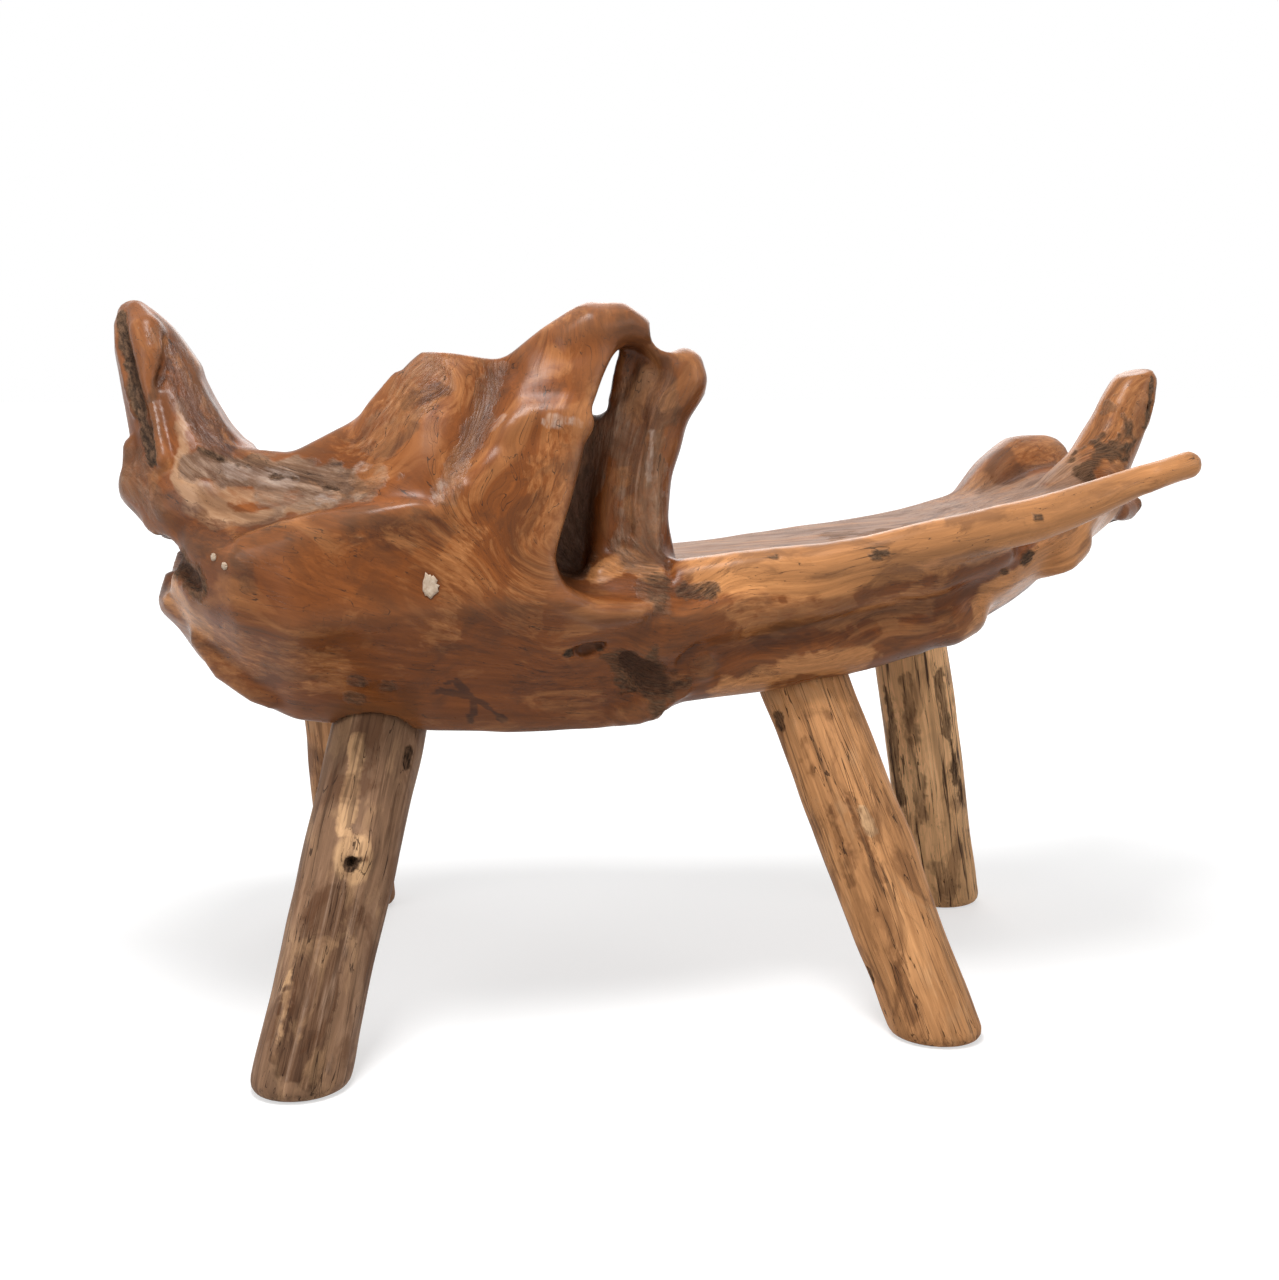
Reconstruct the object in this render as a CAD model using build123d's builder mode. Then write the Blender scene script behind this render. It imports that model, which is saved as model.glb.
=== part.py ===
from build123d import *
import os
from math import cos, pi, sin, sqrt
from typing import NamedTuple

os.makedirs("parts", exist_ok=True)

# A bench carved from one teak root, standing on four round legs.
# Lengths are millimetres. X runs along the bench, the back is at -Y, the feet stand on Z = 0,
# and the origin lies on the floor under the middle of the bench.

# Driving dimensions
seat_height = 450.0
leg_radius_rear_left = 46.0
leg_radius_rear_right = 45.0
leg_radius_front_left = 42.0
leg_radius_front_right = 42.5
neck_length = 60.0
foot_rounding = 9.0
tenon_radius = 25.0
tenon_length = 46.0
glue_gap = 0.2
wedge_length = 22.0
wedge_thickness = 6.0
wedge_point = 1.5
peg_radius = 5.0
peg_reach = 190.0
peg_tail = 38.0
peg_height = 14.0
mortise_end_gap = 2.0
slot_bed = 150.0
slot_mouth = 340.0
notch_radius = 30.0

# The middle of the bench's footprint, in the coordinates of the tables below
middle_along = 7.0
middle_side = -40.0

# How far a limb's rounded end reaches over its radius, the shares of that reach at which the end
# draws in, and how many flats go round a limb
bluntness = 0.8
end_shares = (0.6, 0.9)
limb_sides = 10


class Leg(NamedTuple):
    """A leg's foot point and lean, its radius, its shoulder's depth under the seat, and its peg."""

    foot: tuple
    lean: tuple
    radius: float
    shoulder_drop: float
    girths: list
    peg_side: tuple


# Share of a leg's length by which its log runs on below the floor before it is sawn level
foot_start = -0.15

# Lean is the run of the axis, in x and y, over the rise to the seat.
# Girths are (share of the way up, radius across over the leg's radius, radius deep over it).
legs = {
    "rear_left": Leg(
        foot=(-366, -340),
        lean=(113, 273),
        radius=leg_radius_rear_left,
        shoulder_drop=102,
        girths=[(foot_start, 0.98, 0.93), (0.3, 0.96, 0.95), (0.55, 1.0, 1.02), (0.75, 1.0, 1.0)],
        peg_side=(0.35, 1.0),
    ),
    "rear_right": Leg(
        foot=(243, -266),
        lean=(-149, 215),
        radius=leg_radius_rear_right,
        shoulder_drop=84,
        girths=[(foot_start, 0.95, 0.93), (0.3, 0.96, 0.96), (0.45, 1.02, 1.0), (0.75, 1.0, 1.0)],
        peg_side=(-0.2, 1.0),
    ),
    "front_left": Leg(
        foot=(-330, 262),
        lean=(-27, -150),
        radius=leg_radius_front_left,
        shoulder_drop=76,
        girths=[(foot_start, 1.0, 1.0), (0.35, 1.03, 1.0), (0.7, 1.0, 1.03)],
        peg_side=(0.3, -1.0),
    ),
    "front_right": Leg(
        foot=(369, 202),
        lean=(-90, -88),
        radius=leg_radius_front_right,
        shoulder_drop=58,
        girths=[(foot_start, 1.02, 1.0), (0.3, 1.0, 1.03), (0.65, 1.02, 1.0)],
        peg_side=(-0.5, -1.0),
    ),
}

# Guide lines of the trunk: where each runs at each station along the bench, as
# (sideways, height over the seat), in order round the section from the underside, up the
# back, over the rim, down the inner face, across the seat and down the front edge.
trunk_stations = {
    -500: [(-30, -64), (-90, -50), (-126, -14), (-130, 22), (-122, 46), (-100, 66), (-72, 76),
           (-40, 80), (-5, 78), (35, 72), (72, 52), (90, 8), (50, -46)],
    -468: [(-20, -98), (-120, -91), (-190, -24), (-200, 26), (-184, 62), (-142, 108), (-98, 112),
           (-60, 98), (-15, 86), (45, 76), (112, 56), (148, 4), (100, -68)],
    -420: [(-20, -126), (-160, -123), (-246, -36), (-254, 26), (-214, 50), (-162, 118), (-118, 116),
           (-88, 76), (-48, 42), (30, 26), (140, 20), (180, -30), (115, -102)],
    -370: [(-20, -144), (-184, -144), (-268, -42), (-266, 44), (-226, 56), (-186, 114), (-148, 108),
           (-118, 54), (-75, 2), (20, -12), (165, -6), (204, -50), (132, -120)],
    -310: [(-20, -150), (-194, -150), (-275, -32), (-271, 54), (-233, 80), (-190, 144), (-152, 140),
           (-122, 68), (-80, -6), (20, -22), (180, -8), (217, -55), (140, -130)],
    -246: [(-20, -154), (-202, -153), (-277, -28), (-266, 64), (-234, 134), (-192, 209), (-154, 204),
           (-124, 92), (-82, -6), (20, -26), (186, -8), (222, -58), (145, -134)],
    -200: [(-20, -155), (-202, -154), (-277, -24), (-254, 104), (-215, 158), (-188, 206), (-150, 200),
           (-122, 92), (-80, -6), (20, -26), (190, -8), (222, -58), (145, -134)],
    -170: [(-20, -156), (-200, -156), (-275, -22), (-246, 112), (-214, 168), (-182, 202), (-147, 198),
           (-120, 94), (-79, -6), (20, -25), (190, -8), (222, -57), (145, -134)],
    -132: [(-20, -156), (-194, -157), (-270, -20), (-242, 110), (-208, 186), (-178, 231), (-144, 226),
           (-118, 98), (-78, -6), (20, -24), (190, -8), (222, -56), (145, -134)],
    -88: [(-20, -155), (-188, -157), (-260, -22), (-236, 110), (-208, 200), (-174, 257), (-140, 250),
          (-112, 108), (-74, -5), (20, -20), (190, -8), (222, -56), (145, -134)],
    -48: [(-20, -152), (-180, -155), (-240, -34), (-226, 96), (-200, 196), (-164, 246), (-134, 242),
          (-104, 108), (-70, -5), (20, -16), (186, -9), (218, -56), (142, -132)],
    4: [(-20, -141), (-150, -140), (-188, -90), (-184, -44), (-166, -22), (-150, -12), (-130, -9),
        (-100, -10), (-60, -12), (20, -15), (170, -12), (206, -58), (130, -126)],
}

# Guide lines of the seat's plain end, round the section from the underside, up the back,
# across the seat and down the front edge.
seat_stations = {
    -80: [(0, -146), (-130, -144), (-176, -100), (-176, -50), (-150, -16), (-100, -10), (0, -18),
          (110, -16), (180, -18), (206, -62), (120, -130)],
    0: [(0, -142), (-142, -140), (-186, -98), (-182, -48), (-150, -12), (-100, -10), (0, -14),
        (110, -12), (182, -14), (208, -60), (120, -128)],
    80: [(0, -132), (-136, -131), (-184, -88), (-182, -44), (-150, -6), (-96, -5), (0, -8),
         (110, -4), (176, -6), (202, -50), (116, -116)],
    150: [(0, -120), (-126, -119), (-172, -78), (-174, -36), (-148, 2), (-92, 3), (0, 0),
          (110, 4), (170, 4), (196, -38), (112, -102)],
    220: [(0, -106), (-120, -104), (-162, -66), (-164, -26), (-142, 12), (-90, 12), (0, 8),
          (105, 13), (166, 14), (190, -26), (108, -88)],
    290: [(5, -90), (-104, -86), (-146, -50), (-152, -14), (-134, 22), (-84, 24), (0, 20),
          (100, 24), (162, 27), (186, -10), (104, -70)],
    350: [(20, -66), (-74, -60), (-124, -28), (-140, 2), (-126, 34), (-78, 38), (10, 34),
          (104, 38), (168, 42), (192, 8), (112, -48)],
    405: [(50, -40), (-30, -36), (-90, -10), (-116, 18), (-104, 46), (-60, 52), (20, 50),
          (108, 54), (184, 58), (206, 26), (128, -22)],
    450: [(70, -18), (10, -14), (-50, 8), (-78, 32), (-72, 56), (-30, 64), (34, 64),
          (110, 70), (180, 74), (204, 44), (140, -2)],
    485: [(80, 8), (40, 10), (0, 22), (-20, 38), (-16, 54), (10, 64), (52, 66),
          (110, 72), (160, 74), (180, 52), (134, 16)],
}

# Limbs of the root: (along, sideways, height over the seat, radius along or up, radius sideways)
# at each station of their run, from the end in the wood to the free end.
limbs = {
    "horn": [(-436, -134, 10, 50, 60), (-450, -128, 62, 70, 64), (-466, -114, 104, 62, 54),
             (-482, -98, 146, 51, 45), (-499, -86, 184, 41, 38), (-515, -74, 218, 33, 32),
             (-526, -66, 244, 19, 22)],
    "upper_left_lobe": [(-440, -116, 56, 50, 60), (-482, -112, 70, 48, 58), (-514, -106, 82, 32, 44)],
    "lower_left_lobe": [(-405, -70, -50, 50, 60), (-450, -98, -40, 52, 68), (-482, -100, -28, 33, 50)],
    "left_armrest": [(-400, 10, 40, 55, 60), (-420, 60, 46, 48, 52), (-418, 110, 34, 40, 44),
                     (-404, 150, 14, 30, 34)],
    "arch": [(-112, -172, 206, 32, 32), (-84, -172, 228, 28, 32), (-56, -162, 234, 22, 28),
             (-34, -150, 227, 13, 26), (-14, -136, 204, 15, 26), (2, -126, 180, 22, 28)],
    "post": [(-36, -140, -60, 46, 60), (-40, -137, 20, 32, 46), (-31, -132, 90, 30, 40),
             (-15, -128, 150, 32, 36), (4, -124, 180, 32, 34), (10, -120, 194, 22, 28)],
    "root_knee": [(-120, -170, -60, 50, 44), (-60, -180, -44, 48, 42), (-10, -176, -36, 42, 36),
                  (30, -168, -28, 32, 30)],
    "arm": [(-40, -174, -28, 34, 34), (0, -176, -17, 27, 27), (60, -178, -4, 22, 24),
            (139, -180, 0, 24, 23), (219, -180, 16, 24, 22), (295, -176, 30, 24, 22),
            (359, -170, 44, 24, 21), (415, -162, 62, 20, 18), (463, -155, 79, 17, 16),
            (519, -150, 95, 14, 14)],
    "belly_tail": [(-120, -180, -60, 56, 50), (-43, -192, -56, 48, 36), (32, -184, -42, 34, 26),
                   (100, -180, -32, 28, 22), (170, -174, -22, 26, 20), (260, -160, -8, 24, 18),
                   (330, -142, 12, 20, 16)],
    "lower_log": [(-80, -140, -92, 50, 50), (10, -150, -92, 46, 46), (80, -148, -88, 42, 42),
                  (160, -142, -80, 38, 38), (240, -132, -64, 34, 34), (290, -122, -50, 28, 28)],
    "right_root": [(260, -70, -36, 50, 58), (330, -60, -12, 46, 54), (400, -30, 12, 38, 48),
                   (450, 4, 32, 32, 40), (490, 28, 44, 22, 30)],
    "knob": [(372, 156, 16, 28, 46), (412, 176, 50, 36, 46), (446, 192, 70, 42, 42),
             (480, 204, 76, 36, 36)],
    "upright_branch": [(448, 40, 36, 40, 42), (490, 54, 76, 37, 38), (514, 60, 124, 32, 33),
                       (531, 63, 163, 28, 29), (539, 64, 176, 22, 24)],
    "stub": [(450, 50, 40, 26, 30), (505, 56, 34, 19, 22), (534, 60, 35, 11, 14)],
}

# The slot behind the wall's slanted edge and the gap at its top, seen from the back, as
# (along, height over the seat)
slot_outline = [(-60, 214), (-77, 182), (-89, 150), (-107, 78), (-126, 18), (-119, -8), (-90, -24),
                (-40, -26), (30, -20), (40, 230), (-50, 262)]
gap_outline = [(-46, 218), (-58, 216), (-72, 188), (-90, 148), (-80, 140), (-62, 152), (-48, 184)]

# Where the left side is hollowed, as (along, sideways, height over the seat)
notch_centre = (-505, -124, 4)

# Fillers seen from the back: (along, height over the seat, radius along, radius up, bed's distance
# behind the bench's guide line)
filler_places = {
    "filler_patch": (-241, -3, 8, 12, 268),
    "filler_speck_upper": (-439, 21, 3, 3, 231),
    "filler_speck_lower": (-428, 14, 3, 3, 242),
}


def trunk_section(along, outline):
    """A closed hewn outline across the bench, with its heights taken from the seat."""
    with BuildSketch(Plane.YZ.offset(along - middle_along)) as section:
        with BuildLine():
            Polyline([(side - middle_side, seat_height + height) for side, height in outline],
                     close=True)
        make_face()
    return section.sketch


def oval(plane, sideways, upward):
    """A limb's oval section with flat sides."""
    corners = [2 * pi * corner / limb_sides for corner in range(limb_sides)]
    with BuildSketch(plane) as section:
        with BuildLine():
            Polyline([(sideways * cos(turn), upward * sin(turn)) for turn in corners], close=True)
        make_face()
    return section.sketch


def limb_sections(stations):
    """Oval sections square to a limb, drawing in past its free end."""
    centres = [shifted(*station[:3]) for station in stations]
    ends = [centres[0]] + centres + [centres[-1]]
    sections = []
    for place, (centre, station) in enumerate(zip(centres, stations)):
        run = (ends[place + 2] - ends[place]).normalized()
        sections.append(oval(Plane(origin=centre, x_dir=(0, 1, 0), z_dir=run), station[4], station[3]))
    upward, sideways = stations[-1][3:]
    reach = bluntness * min(upward, sideways)
    for share in end_shares:
        shrink = sqrt(1 - share**2)
        plane = Plane(origin=centre + run * reach * share, x_dir=(0, 1, 0), z_dir=run)
        sections.append(oval(plane, sideways * shrink, upward * shrink))
    return sections


def shifted(x, y, z):
    """A point of the tables above, measured from the middle of the bench and from the floor."""
    return Vector(x - middle_along, y - middle_side, seat_height + z)


def foot_point(leg):
    """Where a leg's axis meets the floor."""
    return Vector(leg.foot[0] - middle_along, leg.foot[1] - middle_side, 0)


def leg_axis(leg):
    """The direction of a leg's axis, from its foot up."""
    return Vector(*leg.lean, seat_height).normalized()


def shoulder_plane(leg):
    """The plane of a leg's shoulder, square to its axis, where its tenon begins."""
    share = 1 - leg.shoulder_drop / seat_height
    centre = shifted(leg.foot[0] + share * leg.lean[0], leg.foot[1] + share * leg.lean[1],
                     -leg.shoulder_drop)
    return Plane(origin=centre, x_dir=(1, 0, 0), z_dir=leg_axis(leg))


def peg_plane(leg):
    """The plane at a peg's inner end, with the peg running down from it under the bench."""
    upward = Vector(-leg.peg_side[0], -leg.peg_side[1], 1).normalized()
    crossing = shoulder_plane(leg).origin + leg_axis(leg) * peg_height
    return Plane(origin=crossing + upward * peg_tail, z_dir=upward)


# The carved root as it is before the joints are cut
with BuildPart() as blank:
    loft(sections=[trunk_section(x, outline) for x, outline in trunk_stations.items()], ruled=True)
    # The slot behind the wall's slanted edge, closed at its back by a web of wood
    with BuildSketch(Plane.XZ.offset(slot_bed + middle_side)):
        with BuildLine():
            Polyline([(x - middle_along, seat_height + z) for x, z in slot_outline], close=True)
        make_face()
    extrude(amount=slot_mouth - slot_bed, mode=Mode.SUBTRACT)
    # The gap at the top of the slot, through the web
    with BuildSketch(Plane.XZ.offset(slot_mouth + middle_side)):
        with BuildLine():
            Polyline([(x - middle_along, seat_height + z) for x, z in gap_outline], close=True)
        make_face()
    extrude(amount=-slot_mouth, mode=Mode.SUBTRACT)
    loft(sections=[trunk_section(x, outline) for x, outline in seat_stations.items()], ruled=True)
    for stations in limbs.values():
        loft(sections=limb_sections(stations), ruled=True)
    with Locations(shifted(*notch_centre)):
        Sphere(notch_radius, mode=Mode.SUBTRACT)

# Fillers let into the back: one patch and two specks
fillers = {}
for name, (x, z, across, up, bed) in filler_places.items():
    with BuildPart() as filler:
        add(blank.part)
        with BuildSketch(Plane.XZ.offset(bed + middle_side)):
            with Locations((x - middle_along, seat_height + z)):
                Ellipse(across, up)
        extrude(amount=slot_mouth - bed, mode=Mode.INTERSECT)
    filler.part.label = name
    export_step(filler.part, f"parts/{name}.step")
    fillers[name] = filler.part

with BuildPart() as root_body:
    add(blank.part)
    for filler in fillers.values():
        add(filler, mode=Mode.SUBTRACT)
    for leg in legs.values():
        # Housing for the leg's neck, mortise for its tenon, and the bore for its peg
        with BuildSketch(shoulder_plane(leg)):
            Circle(leg.radius + glue_gap)
        extrude(amount=-2 * neck_length, mode=Mode.SUBTRACT)
        with BuildSketch(shoulder_plane(leg)):
            Circle(tenon_radius + glue_gap)
        extrude(amount=tenon_length + mortise_end_gap, mode=Mode.SUBTRACT)
        with BuildSketch(peg_plane(leg)):
            Circle(peg_radius + glue_gap)
        extrude(amount=-peg_reach, mode=Mode.SUBTRACT)
root_body.part.label = "root_body"
export_step(root_body.part, "parts/root_body.step")

for name, leg in legs.items():
    # Wedge driven into the tenon's end by the floor of the mortise
    top = shoulder_plane(leg)
    across_tenon = Plane(origin=top.origin, x_dir=top.y_dir, z_dir=top.x_dir)
    with BuildPart() as wedge:
        with BuildSketch(across_tenon):
            with BuildLine():
                Polyline(
                    (-wedge_thickness / 2, tenon_length + mortise_end_gap),
                    (-wedge_point / 2, tenon_length + mortise_end_gap - wedge_length),
                    (wedge_point / 2, tenon_length + mortise_end_gap - wedge_length),
                    (wedge_thickness / 2, tenon_length + mortise_end_gap),
                    close=True,
                )
            make_face()
        extrude(amount=tenon_radius, both=True)
        with BuildSketch(top):
            Circle(tenon_radius)
        extrude(amount=tenon_length + mortise_end_gap, mode=Mode.INTERSECT)
    wedge.part.label = f"wedge_{name}"
    export_step(wedge.part, f"parts/wedge_{name}.step")

    # Shaft, with its neck turned true, the tenon, the foot sawn level and its edge worn round
    with BuildPart() as shaft:
        neck_start = 1 - neck_length / (top.origin - foot_point(leg)).length
        for share, across, deep in [*leg.girths, (neck_start, 1, 1)]:
            centre = foot_point(leg) + (top.origin - foot_point(leg)) * share
            with BuildSketch(Plane(origin=centre, x_dir=(1, 0, 0), z_dir=leg_axis(leg))):
                Ellipse(leg.radius * across, leg.radius * deep)
        loft(ruled=True)
        with BuildSketch(top):
            Circle(leg.radius)
        extrude(amount=-neck_length)
        with BuildSketch(top):
            Circle(tenon_radius)
        extrude(amount=tenon_length)
        split(bisect_by=Plane.XY, keep=Keep.TOP)
        fillet(shaft.faces().sort_by(Axis.Z)[0].edges(), foot_rounding)
        add(wedge.part, mode=Mode.SUBTRACT)
        with BuildSketch(peg_plane(leg)):
            Circle(peg_radius + glue_gap)
        extrude(amount=-peg_reach, mode=Mode.SUBTRACT)
    shaft.part.label = f"leg_{name}"
    export_step(shaft.part, f"parts/leg_{name}.step")

    # Peg through the neck and the tenon, trimmed flush with the underside
    with BuildPart() as peg:
        add(blank.part)
        with BuildSketch(peg_plane(leg)):
            Circle(peg_radius)
        extrude(amount=-peg_reach, mode=Mode.INTERSECT)
    peg.part.label = f"peg_{name}"
    export_step(peg.part, f"parts/peg_{name}.step")
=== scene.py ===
from math import cos, radians, sin

import bpy
import numpy as np
import openvdb
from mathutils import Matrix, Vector
from mathutils.bvhtree import BVHTree


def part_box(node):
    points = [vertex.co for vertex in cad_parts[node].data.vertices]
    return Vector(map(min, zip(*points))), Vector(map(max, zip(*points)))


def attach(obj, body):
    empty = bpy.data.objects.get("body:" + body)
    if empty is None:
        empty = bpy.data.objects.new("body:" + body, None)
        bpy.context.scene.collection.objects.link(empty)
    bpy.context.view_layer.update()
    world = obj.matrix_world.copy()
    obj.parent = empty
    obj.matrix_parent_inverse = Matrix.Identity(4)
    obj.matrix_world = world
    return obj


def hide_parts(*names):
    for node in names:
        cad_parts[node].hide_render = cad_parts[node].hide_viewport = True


bl_info = {
    "name": "Teak Root Bench",
    "version": (1, 0, 0),
    "blender": (4, 5, 0),
    "location": "3D View > Sidebar > Bench",
    "description": "Carves a teak root bench and its log legs over the solid model",
    "category": "Object",
}

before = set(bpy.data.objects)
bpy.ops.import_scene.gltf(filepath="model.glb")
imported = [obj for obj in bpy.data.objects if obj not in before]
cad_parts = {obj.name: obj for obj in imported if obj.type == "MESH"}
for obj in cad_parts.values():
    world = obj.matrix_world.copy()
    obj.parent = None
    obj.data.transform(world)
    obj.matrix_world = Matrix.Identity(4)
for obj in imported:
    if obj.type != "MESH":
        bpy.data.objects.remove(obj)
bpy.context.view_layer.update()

LEG_NAMES = ("rear_left", "rear_right", "front_left", "front_right")
MM = 1000  # Millimetres in a metre

# Strands that the grain follows, in millimetres: points, half width, and the place of the strand
# in the straight log (along, across, deep)
STRANDS = [
    ([(-534, -30, 694), (-500, -62, 640), (-470, -100, 586), (-420, -136, 550), (-350, -172, 528),
      (-270, -200, 500), (-200, -200, 455), (-130, -186, 415), (-50, -160, 398), (40, -146, 408)],
     22, (0, 0, 0)),
    ([(-500, -80, 410), (-430, -150, 395), (-350, -180, 378), (-260, -186, 362), (-170, -180, 352),
      (-70, -150, 345), (60, -120, 350), (200, -100, 372), (290, -82, 400)], 24, (135, -110, 0)),
    ([(-128, -140, 672), (-142, -180, 600), (-152, -200, 530), (-160, -205, 470)],
     20, (310, 85, 0)),
    ([(-190, -150, 650), (-205, -185, 580), (-222, -205, 520)], 20, (270, 45, 0)),
    ([(-305, -168, 570), (-275, -158, 605), (-240, -150, 640)], 16, (330, 45, 0)),
    ([(-3, -84, 638), (-22, -90, 600), (-38, -94, 540), (-47, -98, 470), (-40, -110, 430)],
     18, (385, 130, 0)),
    ([(60, -138, 446), (132, -140, 450), (212, -140, 466), (288, -136, 480), (352, -130, 494),
      (456, -115, 529), (512, -110, 545)], 16, (748, 38, 0)),
    ([(100, -140, 418), (253, -120, 442), (323, -100, 462)], 16, (788, 8, 0)),
    ([(253, -30, 414), (323, -20, 438), (393, 10, 462), (443, 44, 482), (483, 68, 494)],
     22, (945, -60, -60)),
    ([(-407, 50, 490), (-427, 100, 496), (-425, 150, 484), (-411, 190, 464)], 20, (200, 0, -220)),
    ([(-360, 130, 420), (-200, 160, 405), (0, 150, 405), (180, 120, 415), (300, 80, 430)],
     40, (400, -60, -320)),
    ([(365, 196, 466), (405, 216, 500), (439, 232, 520), (473, 244, 526)], 20, (900, 60, -380)),
    ([(441, 80, 486), (483, 94, 526), (507, 100, 574), (524, 103, 613)], 18, (1000, 90, -200)),
]

# Wood added to the root: points, radii and how softly each joins
SWELLINGS = [
    ([(-528, -44, 698), (-516, -62, 677), (-512, -74, 655), (-512, -86, 632), (-509, -92, 608),
      (-503, -108, 582), (-496, -124, 556)], (8, 16, 15, 9, 8, 8, 8), 4),
    ([(-546, -36, 684), (-541, -56, 658), (-532, -74, 625), (-525, -88, 600)], (4, 5, 5, 4), 5),
    ([(-44, -180, 403), (8, -168, 410), (67, -158, 423)], (5, 7, 5), 9),
    ([(-315, -158, 574), (-297, -151, 604), (-276, -146, 632)], (6, 7, 5), 8),
    ([(-130, -224, 430), (-91, -207, 411), (-52, -193, 414), (-26, -171, 423)], (5, 6, 6, 4), 8),
    ([(-86, -148, 444), (-61, -134, 456)], (10, 8), 6),
    ([(-44, -96, 655), (-40, -107, 635), (-50, -109, 612)], (9, 10, 9), 5),
    ([(-182, -184, 584), (-154, -178, 594), (-121, -177, 596), (-103, -179, 590)],
     (8, 10, 10, 6), 18),
    ([(-213, -209, 559), (-225, -217, 536), (-240, -222, 517), (-263, -223, 516),
      (-301, -223, 510), (-343, -214, 506), (-382, -205, 498), (-417, -202, 486)],
     (2, 3, 4, 5, 5, 5, 5, 3), 14),
    ([(-54, -102, 662), (-58, -104, 644), (-61, -104, 628), (-67, -102, 612)], (5, 8, 9, 6), 5),
    ([(-62, -108, 600), (-68, -110, 560), (-73, -112, 515), (-78, -116, 470),
      (-84, -134, 440)], (8, 10, 12, 13, 12), 16),
    ([(4, -98, 640), (8, -98, 630)], (13, 14), 8),
    ([(512, 98, 590), (526, 100, 618)], (24, 18), 8),
    ([(12, -136, 361), (13, -144, 358)], (18, 18), 6),
    ([(276, -88, 390), (292, -82, 392)], (22, 18), 24),
    ([(400, -50, 444), (420, -40, 458)], (20, 15), 20),
    ([(-469, -114, 383), (-454, -122, 369), (-444, -125, 357), (-430, -135, 347),
      (-415, -138, 335), (-402, -143, 328)], (8, 11, 13, 12, 10, 7), 12),
    ([(-65, -149, 309), (-51, -146, 312), (-36, -138, 317), (-22, -137, 324), (-8, -144, 329)],
     (11, 14, 17, 13, 7), 10),
    ([(500, 60, 484), (513, 80, 485), (524, 85, 489)], (10, 13, 9), 5),
    ([(463, -120, 527), (478, -120, 535), (494, -117, 541), (507, -114, 544)],
     (9, 11, 13, 14), 4),
    ([(536, 90, 622), (533, 86, 603), (528, 84, 582), (521, 80, 565)], (11, 11, 10, 7), 5),
    ([(-528, -84, 572), (-528, -80, 564), (-531, -80, 553), (-533, -88, 540)], (6, 12, 10, 8), 4),
]

# Wood cut out of the root: points, radii and how softly each edge turns
HOLLOWS = [
    ([(-498, -68, 672), (-495, -80, 649), (-503, -92, 626)], (4, 5, 4), 3),
    ([(-518, -60, 466), (-514, -85, 468), (-512, -100, 470)], (13, 16, 15), 4),
    ([(-541, -52, 688), (-533, -70, 656), (-523, -90, 616), (-514, -108, 584), (-506, -122, 560)],
     (4, 6, 8, 9, 5), 3),
    ([(-497, -72, 663), (-480, -94, 621), (-458, -116, 584), (-420, -134, 560)], (2, 4, 4, 3), 5),
    ([(-482, -77, 649), (-462, -99, 611), (-438, -114, 579), (-403, -137, 566)], (2, 4, 4, 2), 5),
    ([(-461, -134, 557), (-414, -145, 549), (-367, -168, 543), (-334, -186, 535)], (3, 5, 4, 2), 5),
    ([(-475, -140, 542), (-423, -151, 537), (-376, -172, 532)], (2, 4, 2), 5),
    ([(-182, -161, 645), (-195, -186, 613), (-206, -203, 586), (-222, -222, 555),
      (-238, -233, 530)], (14, 17, 16, 14, 8), 16),
    ([(-15, -140, 677), (-15, -60, 677)], (21, 21), 4),
    ([(538, 80, 634), (536, 78, 605), (530, 76, 578)], (2, 3, 1), 2),
    ([(-122, -200, 377), (-104, -192, 380), (-87, -190, 384)], (2, 8, 4), 3),
    ([(-62, -180, 366), (-38, -162, 345), (-8, -157, 333)], (9, 14, 10), 5),
    ([(-37, -141, 470), (-19, -139, 457), (-19, -164, 441), (-23, -177, 423)], (3, 4, 3, 2), 3),
    ([(-512, -100, 474), (-498, -122, 468), (-484, -144, 455), (-466, -164, 444)],
     (12, 16, 16, 9), 5),
    ([(-40, -117, 600), (-46, -127, 560), (-54, -132, 515), (-56, -135, 480)], (2, 4, 4, 2), 3),
    ([(-24, -123, 595), (-29, -128, 550), (-35, -135, 505), (-38, -139, 472)], (2, 4, 4, 2), 3),
    ([(189, -148, 417), (214, -136, 413), (238, -122, 411)], (1, 4, 1), 3),
]

# The horn's inner edge, the notch under it and the low corner at the right end: rows of cuts
# along Y
HOLLOWS += [([(-445, y, 636), (-439, y, 623), (-431, y, 611), (-423, y, 599), (-414, y, 590)],
             (18,) * 5, 6) for y in range(-110, 40, 14)]
HOLLOWS += [([(-545, y, 463 + 5 * sin(y / 19)), (-500 - max(y, 0) / 9, y, 461 + 5 * sin(y / 19))],
             (16, 14 - max(y, -20) / 12), 5) for y in range(-120, 84, 12)]

HOLLOWS += [([(403, y, 411), (425, y, 425)], (20, 16), 5) for y in range(-100, 40, 14)]

# Flat sawn faces: a point on the face, its outward direction and how far it reaches
SAWN_FACES = [
    ((527, 98, 633), (-0.2, -0.1, 1.0), 45),
    ((13, -157, 356), (-0.12, -1.0, -0.2), 26),
]

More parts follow.
